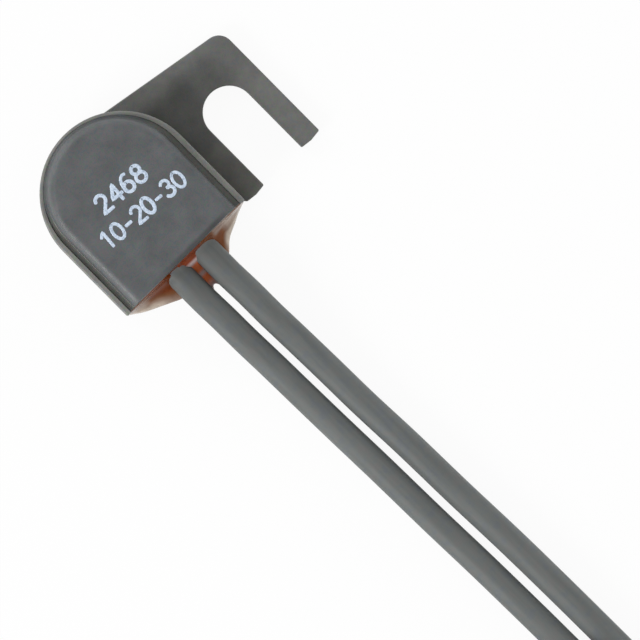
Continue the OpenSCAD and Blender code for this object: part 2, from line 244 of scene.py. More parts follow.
def multiply(tree, colour, *tints):
    """Colour times each of the tints."""
    for tint in tints:
        colour = mix_colour(tree, 1.0, colour, tint, "MULTIPLY")
    return colour


def along_axis(tree, place, axis):
    """One coordinate of a place or direction."""
    node = tree.nodes.new("ShaderNodeSeparateXYZ")
    tree.links.new(place, node.inputs["Vector"])
    return node.outputs[axis]


def between(tree, value, low, high, kind="SMOOTHSTEP"):
    """0 at low and 1 at high; low may be the larger."""
    node = tree.nodes.new("ShaderNodeMapRange")
    node.interpolation_type = kind
    node.inputs["From Min"].default_value = low
    node.inputs["From Max"].default_value = high
    tree.links.new(value, node.inputs["Value"])
    return node.outputs["Result"]


def fade(tree, value, low, high, a, b):
    """Colour a where the value is low and b where it is high; low may be the larger."""
    return mix_colour(tree, between(tree, value, low, high), a, b)


def vertex_value(tree, name):
    """A value that the mesh holds for each vertex."""
    node = tree.nodes.new("ShaderNodeAttribute")
    node.attribute_name = name
    return node.outputs["Fac"]


def uneven_roughness(tree, shader, pattern, middle, play):
    """Roughness that follows a noise pattern, up to play less or more than middle."""
    pattern_low, pattern_high = 0.3, 0.7
    node = tree.nodes.new("ShaderNodeMapRange")
    node.inputs["From Min"].default_value = pattern_low
    node.inputs["From Max"].default_value = pattern_high
    node.inputs["To Min"].default_value = middle - play
    node.inputs["To Max"].default_value = middle + play
    tree.links.new(pattern, node.inputs["Value"])
    tree.links.new(node.outputs["Result"], shader.inputs["Roughness"])


def bump(tree, shader, height, depth):
    """Bump of height values, depth millimetres deep."""
    node = tree.nodes.new("ShaderNodeBump")
    node.inputs["Distance"].default_value = depth * MM
    node.inputs["Strength"].default_value = 1
    tree.links.new(height, node.inputs["Height"])
    tree.links.new(node.outputs["Normal"], shader.inputs["Normal"])


# Materials
def moulding(name, tones, roughness, level, grain, depth, dust_and_painted_light=None):
    """Moulded plastic whose colour wanders between three tones, with its own dust and painted light and
    shade.

    Its highlights have the given level, and its grain is grain across and depth deep, in millimetres.
    """
    material, tree, shader = new_material(name)
    place = coordinates(tree)
    cool, warm, green = tones
    hue = ramp(tree, noise(tree, place, 0.26, 2, 0.6), [(0.41, cool), (0.5, warm), (0.59, green)])
    shade = ramp(tree, noise(tree, place, 2.2, 4, 0.65), [(0.3, grey(0.82)), (0.7, grey(1.14))])
    colour = multiply(tree, hue, shade)
    # Painted light and shade, and the cover's dust, laid over the plastic's colour
    if dust_and_painted_light:
        colour = dust_and_painted_light(tree, place, colour)
    tree.links.new(colour, shader.inputs["Base Color"])
    shader.inputs["Specular IOR Level"].default_value = level
    uneven_roughness(tree, shader, noise(tree, place, 0.8, 3), roughness, 0.06)
    bump(tree, shader, noise(tree, place, grain, 3, 0.6), depth)
    return material


def case_painted_light(tree, place, colour):
    """Painted highlight along the rim, strongest on its left side. Painted shade on the ear's top where the
    case shadows it, most near the case, least on its legs, with a painted highlight along its far edge.
    """
    across, along, height = (along_axis(tree, place, axis) for axis in "XYZ")
    # Painted highlight on the rim's top, strongest on the left side, which faces the key lamp
    rim = fade(tree, across, -6, -6.5, (1.3, 1.3, 1.27, 1), (1.6, 1.6, 1.56, 1))
    colour = fade(tree, height, rim_z - 0.4, rim_z - 0.2, colour, multiply(tree, colour, rim))
    # Painted shade on the ear's top: the shadow that the case casts on it, darkest by the case wall and
    # lighter towards its outer leg
    ear_shade_and_light = ramp(tree, between(tree, across, 7, 14, "LINEAR"), [
        (0.0, (0.56, 0.56, 0.54, 1)), (0.18, (0.68, 0.68, 0.67, 1)), (0.4, (0.72, 0.72, 0.71, 1)),
        (0.55, grey(0.9)), (0.75, grey(0.74)), (0.88, grey(0.92)), (1.0, grey(1.08))
    ])
    # Painted highlight along the ear's far sloping edge
    ear_shade_and_light = fade(tree, along, 2.6, 4.7, ear_shade_and_light, grey(1.25))
    ear_shade_and_light = fade(tree, across, 1.5, 3, WHITE, ear_shade_and_light)
    # Painted light on the inner leg and painted shade at the outer leg's root, which shape the painted
    # shadow
    inner_leg_light = fade(tree, along, -1.5, -3.5, WHITE, (1.32, 1.3, 1.26, 1))
    inner_leg_light = fade(tree, across, 9, 10, inner_leg_light, WHITE)
    outer_root_shade = fade(tree, along, 0, 1.5, WHITE, (0.83, 0.83, 0.84, 1))
    ear_shade_and_light = multiply(tree, ear_shade_and_light, fade(tree, across, 12, 12.8, inner_leg_light, outer_root_shade))
    ear_shaded = fade(tree, height, ear_t - 0.3, ear_t - 0.05, colour, multiply(tree, colour, ear_shade_and_light))
    return fade(tree, height, ear_t + 0.1, ear_t + 0.6, ear_shaded, colour)


def from_middle(tree, across, along):
    """Distance from the face's centre line, and in its round end from the centre of that."""
    reach = 10
    up = between(tree, along, face_shift, face_shift + reach, "LINEAR")
    up.node.inputs["To Max"].default_value = reach
    point = tree.nodes.new("ShaderNodeCombineXYZ")
    tree.links.new(across, point.inputs["X"])
    tree.links.new(up, point.inputs["Y"])
    length = tree.nodes.new("ShaderNodeVectorMath")
    length.operation = "LENGTH"
    tree.links.new(point.outputs["Vector"], length.inputs[0])
    return length.outputs["Value"]


def cover_painted_light_and_dust(tree, place, colour):
    """Lighter and warmer in the groove, partly dust and partly painted light against its shade. Painted
    shade over the groove on the left, where the lamp lights its shoulder, and along its edge by the leads,
    and painted shade that dulls the highlight on its shoulder.
    """
    across, along, height = (along_axis(tree, place, axis) for axis in "XYZ")
    # Painted shade: a shadow line along the face's edge by the leads
    edge = fade(tree, along, -6.95, -7.3, WHITE, (0.58, 0.57, 0.56, 1))
    edge = fade(tree, across, -4.4, 0.4, WHITE, edge)
    edge = fade(tree, across, 4, 5.8, edge, WHITE)
    # Painted shade that dims the lit foot of the left shoulder, which faces the key lamp
    side = fade(tree, across, -4.8, -5.5, WHITE, grey(0.8))
    side = fade(tree, across, -6.08, -6.2, side, WHITE)
    side = fade(tree, along, 0.2, 1.5, side, WHITE)
    side = fade(tree, height, 5.2, 5.6, side, WHITE)
    # Painted light in the groove, which lifts its shade, with a warm dust tint; above the groove, the edge's
    # painted shade
    groove = fade(tree, height, 5.05, 4.95, edge, (1.38, 1.32, 1.14, 1))
    # Painted shade that dulls the highlight on the shoulder, on the left and on the right
    out = from_middle(tree, across, along)
    left = ramp(tree, between(tree, out, 5.2, 6, "LINEAR"), [
        (0.15, WHITE), (0.38, grey(0.74)), (0.47, grey(0.76)), (0.65, grey(0.92)), (0.8, WHITE)
    ])
    right = ramp(tree, between(tree, out, 5.4, 6.1, "LINEAR"), [
        (0.1, WHITE), (0.5, grey(0.78)), (0.9, WHITE)
    ])
    right = fade(tree, along, 1.5, 0, WHITE, right)
    shoulder = fade(tree, across, -2.5, -4.6, WHITE, left)
    shoulder = fade(tree, across, 3, 4.6, shoulder, right)
    return multiply(tree, colour, groove, side, shoulder)


def insulation_material():
    """Grey insulation with a satin skin and faint lengthwise streaks, and painted light where it leaves the
    resin.
    """
    material, tree, shader = new_material("grey_insulation")
    place = coordinates(tree)
    along = coordinates(tree, (1, 0.06, 1))
    tone = ramp(tree, noise(tree, place, 0.7, 3, 0.6), [
        (0.36, srgb(101, 105, 108)), (0.5, srgb(104, 108, 106)), (0.64, srgb(107, 107, 106))
    ])
    streak = ramp(tree, noise(tree, along, 0.5, 2), [(0.35, grey(0.93)), (0.65, grey(1.06))])
    # Painted light on the lead's start, where the cover's end shades it
    near_case = between(tree, along_axis(tree, place, "Y"), -8.4, -7.6)
    painted_light_at_case = ramp(tree, near_case, [(0.0, WHITE), (1.0, grey(1.5))])
    tree.links.new(multiply(tree, tone, streak, painted_light_at_case), shader.inputs["Base Color"])
    shader.inputs["Specular IOR Level"].default_value = 0.2
    uneven_roughness(tree, shader, noise(tree, place, 1.2, 2), 0.55, 0.05)
    bump(tree, shader, noise(tree, along, 0.25, 2), 0.006)
    return material


def resin_material():
    """Glossy red-brown resin, pale where it runs out to a film and dimmed by painted shade in its corners by
    the case, and redder between the leads, with painted light and glints there.
    """
    material, tree, shader = new_material("red_resin")
    place = coordinates(tree)
    thinness_glint_and_shade, web, deep = (vertex_value(tree, name) for name in ("thinness_glint_and_shade", "web", "deep"))
    outer = ramp(tree, thinness_glint_and_shade, [
        (0.12, srgb(114, 52, 8)), (0.35, srgb(124, 82, 52)), (0.65, srgb(152, 129, 114)),
        (1.0, srgb(204, 192, 176))
    ])
    # Between the leads: red-brown near the case, and painted light further out, where the web lies in shade
    inner = mix_colour(tree, deep, srgb(136, 66, 38), srgb(224, 118, 66))
    # The pale pink is the web's film-like end and its painted glints on the lip and ripple
    body = mix_colour(tree, web, outer, mix_colour(tree, thinness_glint_and_shade, inner, srgb(198, 180, 178)))
    cloud = ramp(tree, noise(tree, place, 0.9, 3), [
        (0.3, (0.82, 0.8, 0.8, 1)), (0.7, (1.12, 1.1, 1.1, 1))
    ])
    tree.links.new(multiply(tree, body, cloud), shader.inputs["Base Color"])
    shader.inputs["Roughness"].default_value = 0.2
    shader.inputs["Specular IOR Level"].default_value = 0.12
    bump(tree, shader, noise(tree, place, 0.6, 2), 0.01)
    return material


def ink_material():
    """Bluish white printing ink, thinner in places."""
    material, tree, shader = new_material("white_ink")
    place = coordinates(tree)
    tone = ramp(tree, noise(tree, place, 0.16, 3, 0.6), [
        (0.3, srgb(150, 166, 186)), (0.48, srgb(196, 211, 230)), (0.7, srgb(214, 226, 240))
    ])
    tree.links.new(tone, shader.inputs["Base Color"])
    shader.inputs["Roughness"].default_value = 0.6
    bump(tree, shader, noise(tree, place, 0.1, 2), 0.008)
    return material


def metal(name, tones, roughness, grain, stretch=(1, 1, 1)):
    """Metal with a mottled tone and a fine grain, drawn out along an axis whose stretch is small."""
    material, tree, shader = new_material(name)
    place = coordinates(tree, stretch)
    tone = ramp(tree, noise(tree, place, grain * 4, 3), [(0.35, tones[0]), (0.65, tones[1])])
    tree.links.new(tone, shader.inputs["Base Color"])
    shader.inputs["Metallic"].default_value = 1
    uneven_roughness(tree, shader, noise(tree, place, grain, 3), roughness, 0.08)
    bump(tree, shader, noise(tree, place, grain, 2), 0.003)
    return material


case_plastic = moulding(
    "case_moulding", (srgb(98, 103, 104), srgb(110, 102, 102), srgb(99, 107, 98)),
    roughness=0.5, level=0.45, grain=0.14, depth=0.01, dust_and_painted_light=case_painted_light
)
cover_plastic = moulding(
    "cover_moulding", (srgb(84, 94, 98), srgb(101, 92, 97), srgb(86, 98, 93)),
    roughness=0.46, level=0.5, grain=0.14, depth=0.008, dust_and_painted_light=cover_painted_light_and_dust
)
guide_plastic = moulding(
    "brown_laminate", (srgb(108, 66, 40), srgb(120, 76, 48), srgb(98, 60, 38)),
    roughness=0.5, level=0.5, grain=0.3, depth=0.01
)
dam_plastic = moulding(
    "red_fibre", (srgb(150, 74, 56), srgb(162, 86, 64), srgb(140, 68, 52)),
    roughness=0.7, level=0.3, grain=0.25, depth=0.02
)
ceramic = moulding(
    "white_ceramic", (srgb(232, 229, 218), srgb(238, 235, 226), srgb(226, 222, 210)),
    roughness=0.3, level=0.5, grain=0.2, depth=0.004
)
insulation = insulation_material()
resin = resin_material()
ink = ink_material()
brass = metal(
    "drawn_brass", (srgb(206, 172, 102), srgb(222, 190, 124)),
    roughness=0.3, grain=0.12, stretch=(1, 0.15, 1)
)
spring_bronze = metal(
    "spring_bronze", (srgb(204, 156, 104), srgb(220, 176, 124)),
    roughness=0.28, grain=0.1, stretch=(1, 0.12, 1)
)
silver = metal("contact_silver", (srgb(214, 214, 210), srgb(230, 230, 226)), roughness=0.25, grain=0.1)
rivet_steel = metal("rivet_metal", (srgb(190, 182, 164), srgb(208, 200, 184)), roughness=0.35, grain=0.12)
disc_metal = metal(
    "rolled_bimetal", (srgb(186, 174, 146), srgb(202, 192, 168)),
    roughness=0.32, grain=0.08, stretch=(1, 0.1, 1)
)
tinned = metal("tinned_copper", (srgb(196, 188, 180), srgb(216, 210, 204)), roughness=0.3, grain=0.08)


# CAD nodes that stay: each gets its finish
FINISHES = {
    "pin_guide": guide_plastic, "seal_dam": dam_plastic,
    "arm_terminal": brass, "fixed_terminal": brass, "moving_contact": silver, "fixed_contact": silver,
    "blade_rivet": rivet_steel, "front_rivet": rivet_steel, "rear_rivet": rivet_steel,
    "left_strands": tinned, "right_strands": tinned
}
for node_name, finish in FINISHES.items():
    for material_slot in NODES[node_name].material_slots:
        material_slot.material = finish


# Base: the moulding's own mesh, with each kind of outer edge rounded to its own radius
rim_round, lip_round, ear_round, foot_round = 0.2, 0.04, 0.12, 0.1
round_steps = 4
sharp_turn = math.radians(35)
flat_turn = math.radians(1)
shortest_edge = 0.08
outline_band = 0.05
close = 0.01


def edge_radius(edge):
    """Radius in millimetres of one of the base's edges, 0 where it stays sharp."""
    if not edge.is_convex or edge.calc_face_angle() < sharp_turn or edge.calc_length() < shortest_edge * MM:
        return 0
    middle = (edge.verts[0].co + edge.verts[1].co) / 2 / MM
    level = abs(edge.verts[0].co.z - edge.verts[1].co.z) < close * MM
    from_axis = math.hypot(middle.x, max(middle.y, 0))
    if level and abs(middle.z - rim_z) < close:
        return rim_round if from_axis > case_half - outline_band else lip_round
    if level and abs(middle.z - ear_t) < close and from_axis > case_half:
        return ear_round
    if level and abs(middle.z) < close:
        return foot_round
    return ear_round if not level and from_axis > case_half - close else 0


def base_piece():
    """Case and ear. The roundings go into the mesh, so that the turns left sharp can be marked as such."""
    bm = node_copy("case_base")
    bmesh.ops.dissolve_limit(bm, angle_limit=flat_turn, verts=bm.verts, edges=bm.edges)
    weight = bm.edges.layers.float.new("bevel_weight_edge")
    for edge in bm.edges:
        edge[weight] = edge_radius(edge) / rim_round
    obj = mesh_object("moulded_base", bm, case_plastic)
    rounding = obj.modifiers.new("rounding", "BEVEL")
    rounding.width = rim_round * MM
    rounding.segments = round_steps
    rounding.limit_method = "WEIGHT"
    rounding.use_clamp_overlap = False
    rounded = bmesh.new()
    rounded.from_mesh(obj.evaluated_get(bpy.context.evaluated_depsgraph_get()).to_mesh())
    for edge in rounded.edges:
        edge.smooth = edge.calc_face_angle(0) < sharp_turn
    rounded.to_mesh(obj.data)
    rounded.free()
    obj.modifiers.remove(rounding)
    normals = obj.modifiers.new("normals", "WEIGHTED_NORMAL")
    normals.keep_sharp = True
    normals.weight = 100
    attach(obj, "housing")
    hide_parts("case_base")


base_piece()


# Cover: rings of points, one D-shaped outline inside another, from the flange up and down into the hollow
flange_half = cover_high.x / MM
flange_z = cover_low.z / MM
flange_top = flange_z + 0.6
lip_overlap, lip_bevel = 0.03, 0.05
seat_shift = 0.25
groove_rise, groove_climb, groove_climb_end = 0.16, 0.22, 4.5
groove_fillet, fillet_steps = 0.12, 6
shoulder_r, shoulder_steps = 0.9, 14
end_lean, lean_start = 0.05, 0.75
face_inset, face_end_inset = 0.3, 0.12
hollow_half, hollow_end, hollow_top, hollow_corner = 5.3, -4.4, 5, 0.3
crown_steps, side_steps, corner_steps, end_steps = 96, 24, 6, 40
full_facing = 0.999


def groove_floor(y):
    """Height of the groove beside the cover: low along its sides, and almost the rim's own at the crown."""
    return flange_top + groove_rise + groove_climb * smoothstep(0, groove_climb_end, y)


def d_ring(bm, half, back, shift, z, corner=0.04, above_floor=None):
    """Points round a D: its half circle, its straight sides and its flat end with slightly rounded corners.

    With above_floor they stand that far over the groove's floor, or at z where that is higher.
    """
    outline = []
    for k in range(crown_steps + 1):
        angle = math.pi * k / crown_steps
        outline.append((half * math.cos(angle), shift + half * math.sin(angle)))
    side = [shift + (back + corner - shift) * k / side_steps for k in range(1, side_steps)]
    outline += [(-half, y) for y in side]
    for k in range(corner_steps + 1):
        angle = math.pi + math.pi / 2 * k / corner_steps
        outline.append((-half + corner * (1 + math.cos(angle)), back + corner * (1 + math.sin(angle))))
    inner = half - corner
    outline += [(-inner + 2 * inner * k / end_steps, back) for k in range(1, end_steps)]
    for k in range(corner_steps + 1):
        angle = 3 * math.pi / 2 + math.pi / 2 * k / corner_steps
        outline.append((half + corner * (math.cos(angle) - 1), back + corner * (1 + math.sin(angle))))
    outline += [(half, y) for y in reversed(side)]
    if above_floor is None:
        return [bm.verts.new(at(x, y, z)) for x, y in outline]
    return [bm.verts.new(at(x, y, max(z, groove_floor(y) + above_floor))) for x, y in outline]


def cover_piece():
    """Raised cover with its rounded shoulder, the groove beside it and the hollow under it."""
    bm = bmesh.new()
    lip = flange_half + lip_overlap
    rings = [d_ring(bm, lip, cover_end, seat_shift, flange_z)]
    rings.append(d_ring(bm, lip, cover_end, seat_shift, flange_top, above_floor=0))
    rings.append(d_ring(bm, lip - lip_bevel, cover_end, seat_shift, flange_top, above_floor=0))
    for k in range(fillet_steps + 1):
        angle = math.pi / 2 * k / fillet_steps
        half, rise = face_half + groove_fillet * (1 - math.sin(angle)), groove_fillet * (1 - math.cos(angle))
        rings.append(d_ring(bm, half, cover_end, face_shift, flange_top, above_floor=rise))
    bend_z = face_z - shoulder_r
    inner = face_half - shoulder_r
    for k in range(shoulder_steps + 1):
        angle = math.pi / 2 * k / shoulder_steps
        end = cover_end + end_lean * smoothstep(lean_start, 1, math.sin(angle))
        half, z = inner + shoulder_r * math.cos(angle), bend_z + shoulder_r * math.sin(angle)
        rings.append(d_ring(bm, half, end, face_shift, z, above_floor=groove_fillet))
    rings.append(d_ring(bm, inner - face_inset, cover_end + face_end_inset, face_shift, face_z))
    bridge(bm, rings)
    bm.faces.new(rings[-1])
    hollow = [rings[0]]
    for z in (flange_z, hollow_top):
        hollow.append(d_ring(bm, hollow_half, hollow_end, face_shift, z, hollow_corner))
    bridge(bm, hollow)
    bm.faces.new(hollow[-1])
    obj = mesh_object("raised_cover", bm, cover_plastic)
    for face in obj.data.polygons:
        flange_end = face.normal.y < -full_facing and face.center.z < flange_top * MM
        face.use_smooth = not flange_end
    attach(obj, "housing")
    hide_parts("case_cover")


cover_piece()


# Leads: route points of the stretches that are not coiled, then the coil of the put-away length
LEFT_ROUTE = [
    at(-1.4, -7, lead_z), at(-1.4, -9, lead_z), at(-1.4, -11.2, lead_z), at(-1.33, -13.5, 2.35),
    at(-1.3, -16, 2.05), at(-1.2, -19, 1.65), at(-1.12, -22.5, 1.35), at(-1.0, -27, lead_r),
    at(-0.84, -32, lead_r), at(-0.7, -38, lead_r), at(-0.5, -44, lead_r), at(-0.37, -50, lead_r),
    at(-0.25, -56.5, lead_r)
]
RIGHT_ROUTE = [
    at(1.65, -7, lead_z), at(1.65, -9, lead_z), at(1.65, -11.2, lead_z), at(1.73, -13.5, 2.35),
    at(1.75, -16, 2.05), at(1.85, -19, 1.65), at(1.95, -22.5, 1.35), at(2.05, -27, lead_r),
    at(2.27, -32, lead_r), at(2.43, -38, lead_r), at(2.66, -44, lead_r), at(2.79, -50, lead_r),
    at(2.85, -55, lead_r), at(2.9, -61, lead_r)
]
coil_centre = (-10.5, -66)
coil_out = 13.5
coil_in = 10.9
coil_rise = 2.48
coil_degrees, coil_step = 540, 6
climb_start, climb_end = 250, 316
lead_length = 150
exit_y = -9.9
path_step = 0.8
tip_length, tip_overlap = 6, 1.5
strands_across, outer_strands = 3, 6
strand_sides = 10
strand_bulge = 0.6
lay_length = 16


def coil_turns(radius):
    """Points of a coil that winds clockwise from +X, and climbs onto its own start within the first turn."""
    points = []
    for degrees in range(0, coil_degrees, coil_step):
        angle = math.radians(-degrees)
        points.append(at(
            coil_centre[0] + radius * math.cos(angle), coil_centre[1] + radius * math.sin(angle),
            lead_r + coil_rise * smoothstep(climb_start, climb_end, degrees)
        ))
    return points


def smooth_path(points, step):
    """Points about a step apart on a smooth curve through the given ones."""
    places = [0.0]
    for a, b in zip(points, points[1:]):
        places.append(places[-1] + (b - a).length)
    last = len(points) - 1
    slopes = []
    for i in range(last + 1):
        low, high = max(i - 1, 0), min(i + 1, last)
        slopes.append((points[high] - points[low]) / (places[high] - places[low]))
    path = []
    for i in range(last):
        width = places[i + 1] - places[i]
        count = max(round(width / step), 1)
        for k in range(count):
            path.append(cubic(k / count, points[i], width * slopes[i], points[i + 1], width * slopes[i + 1]))
    return path + [points[last]]


def cut(path, start, end):
    """The stretch of a path between two distances along it."""
    def point_at(distance):
        gone = 0.0
        for a, b in zip(path, path[1:]):
            length = (b - a).length
            if gone + length >= distance:
                return a + (b - a) * ((distance - gone) / length)
            gone += length
        return path[-1]
    nearest = 0.1 * MM
    inner = []
    gone = 0.0
    for a, b in zip(path, path[1:]):
        gone += (b - a).length
        if start + nearest < gone < end - nearest:
            inner.append(b)
    return [point_at(start)] + inner + [point_at(end)]


def lead_curve(name, path):
    """Round insulation along a path, with flat cut ends."""
    curve = bpy.data.curves.new(name, "CURVE")
    curve.dimensions = "3D"
    spline = curve.splines.new("POLY")
    spline.points.add(len(path) - 1)
    for point, place in zip(spline.points, path):
        point.co = (*place, 1)
    spline.use_smooth = True
    curve.bevel_depth = lead_r * MM
    curve.bevel_resolution = 8
    curve.use_fill_caps = True
    curve.materials.append(insulation)
    obj = bpy.data.objects.new(name, curve)
    bpy.context.scene.collection.objects.link(obj)
    return obj


def strand_tip(name, path):
    """Seven tinned strands that stand out of a lead's end, six of them twisted round the first."""
    strand_r = strand_d / strands_across / 2 * MM
    bm = bmesh.new()
    sweep(bm, path, strand_r, strand_sides, strand_r * strand_bulge)
    for strand in range(outer_strands):
        twisted = []
        gone = 0.0
        for i, (point, side, up, ahead) in enumerate(directions(path)):
            if i:
                gone += (point - path[i - 1]).length
            angle = 2 * math.pi * (strand / outer_strands + gone / (lay_length * MM))
            twisted.append(point + 2 * strand_r * (math.cos(angle) * side + math.sin(angle) * up))
        sweep(bm, twisted, strand_r, strand_sides, strand_r * strand_bulge)
    return mesh_object(name, bm, tinned)


def make_lead(side, route, radius, node):
    """One insulated lead with its bare tip, from inside the resin to the end of its coil."""
    whole = smooth_path(route + coil_turns(radius), path_step * MM)
    hidden = route[0].y - exit_y * MM
    bare = hidden + (lead_length - tip_length) * MM
    lead = lead_curve(side + "_cord", cut(whole, 0, bare))
    tip = strand_tip(side + "_tip", cut(whole, bare - tip_overlap * MM, bare + tip_length * MM))
    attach(lead, "housing")
    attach(tip, "housing")
    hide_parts(node, "lead_coil")


make_lead("left", LEFT_ROUTE, coil_in, "left_lead")
make_lead("right", RIGHT_ROUTE, coil_out, "right_lead")


# Resin: places across the case, with its reach past the case's end there, as seen from above
REACH = [
    (-6.75, 0.1), (-6.5, 0.25), (-6.05, 0.56), (-5.5, 0.88), (-4.5, 1.35), (-3.5, 1.82), (-2.6, 2.2),
    (-1.4, 2.3), (1.65, 2.35), (2.85, 2.25), (3.15, 2.0), (3.6, 1.56), (4.1, 1.22), (5.1, 0.76),
    (5.8, 0.4), (6.5, 0.14), (6.75, 0.06)
]

# Side views (reach, height): beside the leads in shares of the resin's reach, between them in millimetres
SIDE_VIEW = [
    (0.01, 4.25), (0.04, 3.9), (0.09, 3.55), (0.16, 3.2), (0.24, 2.92), (0.34, 2.68), (0.45, 2.47),
    (0.57, 2.28), (0.7, 2.1), (0.82, 1.92), (0.92, 1.73), (0.98, 1.53), (1.0, 1.35), (0.97, 1.12),
    (0.85, 0.92), (0.6, 0.75), (0.3, 0.6)
]
WEB_VIEW = [
    (0.01, 4.25), (0.05, 3.9), (0.12, 3.62), (0.24, 3.44), (0.38, 3.34), (0.52, 3.28), (0.65, 3.16),
    (0.78, 2.94), (0.92, 2.68), (1.1, 2.48), (1.4, 2.33), (1.75, 2.25), (2.1, 2.18), (2.7, 2.02),
    (3.1, 1.75), (3.2, 1.35), (2.6, 0.9)
]
resin_half = 6.75
resin_start = case_end - cover_end
resin_top, resin_foot = 4.5, 0.45
start_dip, mound_dip = 0.15, 0.95
gap_x, gap_half, gap_draw = 0.125, 0.34, 0.4
web_left, web_right = -1.35, 1.65
chamber_half, chamber_low, chamber_high = 5.5, 1.5, 4
chamber_mouth, chamber_floor = cover_end + 0.02, case_end + 2.6
resin_columns, knot_steps = 180, 4
resin_weld = 0.0005


def resin_profile(x):
    """Points (reach, height, paleness) of the resin's skin at one place across the case.

    It starts under the cover's end, drops to the toe and runs back under the leads.
    """
    full = through(REACH, x)
    web = smoothstep(-1.2, -0.65, x) * smoothstep(1.5, 0.9, x)
    over_lead = smoothstep(-3, -1.8, x) * smoothstep(-0.4, -1.2, x)
    off_gap = min(abs(x - gap_x) / gap_half, 1) ** 2
    knots = [(resin_start, resin_top - start_dip * over_lead)]
    for (share, high), (reach, low) in zip(SIDE_VIEW, WEB_VIEW):
        z = high * (1 - web) + low * web
        drawn = reach + gap_draw * off_gap * smoothstep(2.2, 3.1, reach)
        knots.append((share * full * (1 - web) + drawn * web, min(z, resin_top - mound_dip * over_lead)))
    knots.append((0.0, resin_foot))
    profile = []
    for i in range(len(knots) - 1):
        before, after = knots[max(i - 1, 0)], knots[min(i + 2, len(knots) - 1)]
        for k in range(knot_steps):
            spot = []
            for axis in (0, 1):
                a, b = knots[i][axis], knots[i + 1][axis]
                slope_a, slope_b = (b - before[axis]) / 2, (after[axis] - a) / 2
                spot.append(cubic(k / knot_steps, a, slope_a, b, slope_b))
            profile.append((*spot, paleness(x, spot[0], full)))
    return profile + [(*knots[-1], 0.0)]


def paleness(x, reach, full):
    """How pale the resin is: its toe and its ends beside the leads, where it runs out to a film, painted
    glints on the lip and ripple between the leads and along its top beside the right lead, and painted shade
    in its corners by the case.
    """
    share = reach / full
    # Painted shade in the corners by the case, where its wall shades the resin
    inside = 1 - 0.5 * smoothstep(4.4, 5.4, abs(x)) * smoothstep(0.1, -0.05, reach)
    if web_left < x < web_right:
        # Painted glints on the lip and the ripple between the leads
        lip = smoothstep(0.3, 0.0, abs(reach - 0.69))
        ripple_glint = 0.9 * smoothstep(0.36, 0.0, abs(reach - 1.85))
        return max(lip, ripple_glint, 0.85 * smoothstep(2.5, 3.2, reach))
    if x < 0:
        out = smoothstep(-2.8, -4.2, x)
        toe = (0.62 + 0.33 * smoothstep(-2.6, -5, x)) * smoothstep(0.22 - 0.2 * out, 1 - 0.1 * out, share)
        end = (0.48 + 0.32 * smoothstep(0.05, 0.4, share)) * smoothstep(-3.9, -5.6, x)
        return inside * max(0.12, toe, end)
    out = smoothstep(3, 4, x)
    toe = (0.5 + 0.5 * smoothstep(2.7, 3.6, x)) * smoothstep(0.4 - 0.15 * out, 1 - 0.15 * out, share)
    # Painted glint along the resin's top beside the right lead
    edge = 0.65 * smoothstep(2.7, 3.3, x) * smoothstep(0.36, 0.12, share)
    return inside * max(0.24, toe, edge, 0.75 * smoothstep(3.2, 4.6, x))


def resin_piece():
    """Potting resin: the filled lead chamber and the mound that climbs the leads outside it."""
    bm = bmesh.new()
    thinness_glint_and_shade, between_leads, deep = (bm.verts.layers.float.new(name) for name in ("thinness_glint_and_shade", "web", "deep"))
    strips = []
    for i in range(resin_columns + 1):
        x = -resin_half + 2 * resin_half * i / resin_columns
        strip = []
        for reach, z, pale in resin_profile(x):
            vert = bm.verts.new(at(x, case_end - reach, z))
            vert[thinness_glint_and_shade] = pale
            vert[between_leads] = smoothstep(-1.6, -1, x) * smoothstep(1.9, 1.3, x)
            vert[deep] = smoothstep(0.5, 0.9, reach)
            strip.append(vert)
        strips.append(strip)
    last = len(strips[0]) - 1
    for a, b in zip(strips, strips[1:]):
        for k in range(last):
            bm.faces.new((a[k], b[k], b[k + 1], a[k + 1]))
    border = [strip[0] for strip in strips] + strips[-1][1:last]
    border += [strip[last] for strip in reversed(strips)] + strips[0][last - 1:0:-1]

    def chamber_ring(y):
        ring = []
        for vert in border:
            x = min(max(vert.co.x / MM, -chamber_half), chamber_half)
            z = min(max(vert.co.z / MM, chamber_low), chamber_high)
            ring.append(bm.verts.new(at(x, y, z)))
        return ring

    inner = chamber_ring(chamber_floor)
    bridge(bm, [border, chamber_ring(chamber_mouth), inner])
    bm.faces.new(inner)
    bmesh.ops.remove_doubles(bm, verts=bm.verts, dist=resin_weld * MM)
    bmesh.ops.dissolve_degenerate(bm, edges=bm.edges, dist=resin_weld * MM)
    obj = mesh_object("potting_resin", bm, resin)
    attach(obj, "housing")
    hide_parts("resin_seal")


resin_piece()


# Printed numbers: each glyph is a list of strokes in a box 1 high
arc_step = 18
glyph_width = 0.62
glyph_wander, stroke_wander = 0.03, 0.08
print_seed = 5
print_turn = -4
stroke_width = 0.3
stroke_sides = 12
stroke_step = 0.12
stroke_flatness = 0.14


def arc(x, y, across, up, start, end):
    """Points of a stretch of an ellipse round (x, y), between two angles in degrees."""
    count = max(round(abs(end - start) / arc_step), 3)
    turns = [math.radians(start + (end - start) * k / count) for k in range(count + 1)]
    return [(x + across * math.cos(a), y + up * math.sin(a)) for a in turns]


